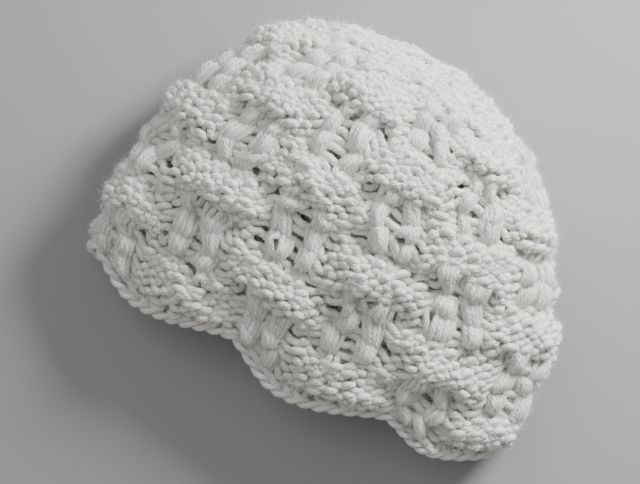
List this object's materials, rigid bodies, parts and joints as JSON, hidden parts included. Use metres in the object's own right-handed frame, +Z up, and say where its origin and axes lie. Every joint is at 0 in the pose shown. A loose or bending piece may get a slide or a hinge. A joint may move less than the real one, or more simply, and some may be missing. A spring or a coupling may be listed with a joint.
{
  "type": "baby hat",
  "caption": "Hand-knitted baby hat lying flat on its side, a hollow lace body with shell-shaped relief, a gathered crown and a scalloped twisted cast-on edge.",
  "frame": {"origin": "bottom centre of the bounding box, on the surface that the hat lies on", "axes": "+X across the opening from one fold to the other, +Y from the opening to the crown, +Z up from the surface"},
  "size_m": [0.1714, 0.131, 0.0496],
  "materials": {
    "white_wool": "matt, softly fuzzy plied yarn"
  },
  "bodies": {
    "root": {"lace_body": "white_wool", "crown": "white_wool", "cast_on_edge": "white_wool"}
  },
  "joints": []
}
